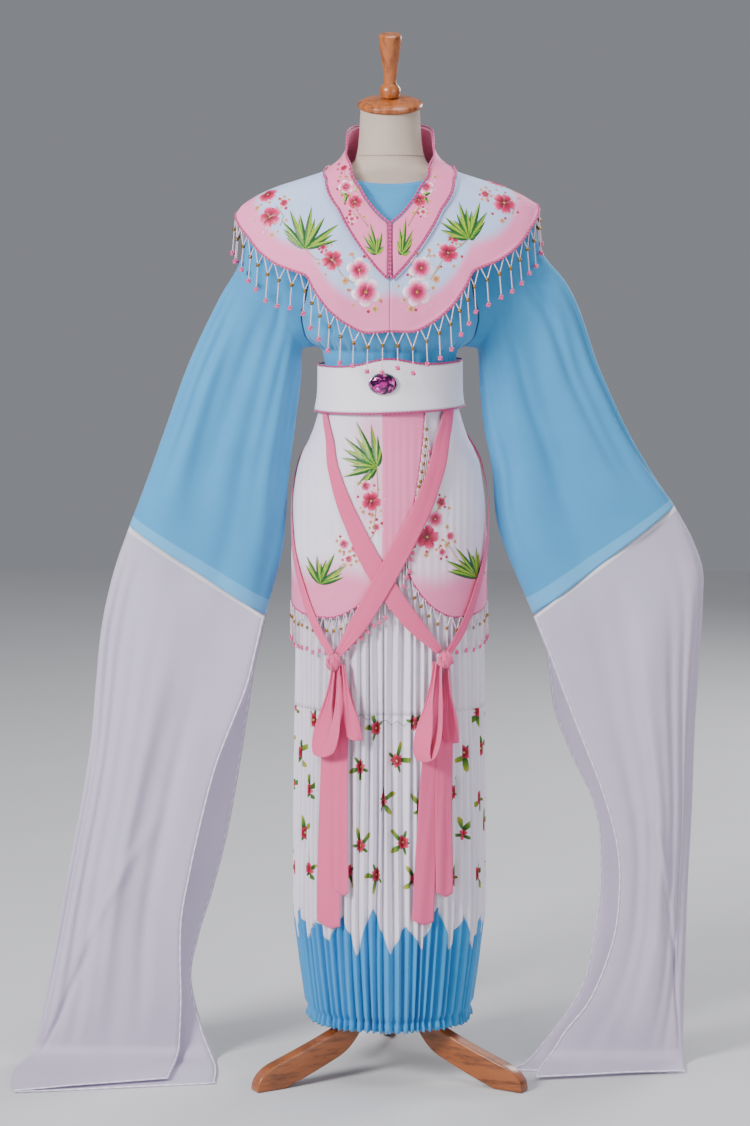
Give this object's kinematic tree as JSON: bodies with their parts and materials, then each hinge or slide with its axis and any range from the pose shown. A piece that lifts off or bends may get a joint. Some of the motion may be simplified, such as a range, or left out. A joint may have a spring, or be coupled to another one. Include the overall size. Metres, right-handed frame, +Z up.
{
  "type": "chinese opera robe on dress form",
  "caption": "Opera robe with wide sleeves, trailing water sleeves, beaded shoulder cape, girdle and pleated skirt, on a limbless dress form with curved wooden legs.",
  "frame": {"origin": "on the floor under the middle of the whole outline; the stand's axis is 57 mm towards +X and 59 mm towards -Y from it", "axes": "+Z up; the robe faces -Y, so +X is the wearer's left"},
  "size_m": [1.189, 0.4142, 1.7866],
  "materials": {
    "form_linen": "matt linen over a hard shell",
    "stand_wood": "varnished",
    "sky_blue_chiffon": "fine matt weave",
    "white_chiffon": "fine matt weave, slightly see-through",
    "white_satin": "satin over a stiff core",
    "pale_pink_satin": "satin, shaded from white to pink, embroidered",
    "rose_piping": "corded satin",
    "bead_fringe": "pearl and gold beads",
    "pink_ribbon": "fine matt weave",
    "purple_stone": "faceted",
    "silver_setting": "polished"
  },
  "bodies": {
    "root": {"form_torso": "form_linen", "neck_cap": "stand_wood", "finial": "stand_wood", "base_plate": "stand_wood", "pole": "stand_wood", "hub": "stand_wood", "leg_right": "stand_wood", "leg_left": "stand_wood", "leg_back": "stand_wood", "blouse_front": "sky_blue_chiffon", "blouse_back": "sky_blue_chiffon", "sleeve_right": "sky_blue_chiffon", "sleeve_left": "sky_blue_chiffon", "water_sleeve_right": "white_chiffon", "water_sleeve_left": "white_chiffon", "skirt_upper": "white_chiffon", "skirt_lower": "white_chiffon", "skirt_hem_band": "sky_blue_chiffon", "hip_panel_back_right": "pale_pink_satin", "hip_fringe_back_right": "bead_fringe", "hip_panel_back_left": "pale_pink_satin", "hip_fringe_back_left": "bead_fringe", "hip_panel_front_left": "pale_pink_satin", "hip_fringe_front_left": "bead_fringe", "hip_panel_front_right": "pale_pink_satin", "hip_fringe_front_right": "bead_fringe", "girdle": "white_satin", "girdle_piping_top": "rose_piping", "girdle_piping_bottom": "rose_piping", "stone_setting": "silver_setting", "girdle_stone": "purple_stone", "cape_front_right": "pale_pink_satin", "cape_fringe_front_right": "bead_fringe", "cape_front_left": "pale_pink_satin", "cape_fringe_front_left": "bead_fringe", "cape_back": "pale_pink_satin", "cape_fringe_back": "bead_fringe", "collar_right": "pale_pink_satin", "collar_piping_right": "rose_piping", "collar_left": "pale_pink_satin", "collar_piping_left": "rose_piping", "strap_from_right": "pink_ribbon", "strap_from_left": "pink_ribbon", "hip_strap_right": "pink_ribbon", "hip_strap_left": "pink_ribbon", "bow_knot_right": "pink_ribbon", "bow_loop_right_1": "pink_ribbon", "bow_loop_right_2": "pink_ribbon", "bow_tail_right_1": "pink_ribbon", "bow_tail_right_2": "pink_ribbon", "bow_knot_left": "pink_ribbon", "bow_loop_left_1": "pink_ribbon", "bow_loop_left_2": "pink_ribbon", "bow_tail_left_1": "pink_ribbon", "bow_tail_left_2": "pink_ribbon"}
  },
  "joints": []
}
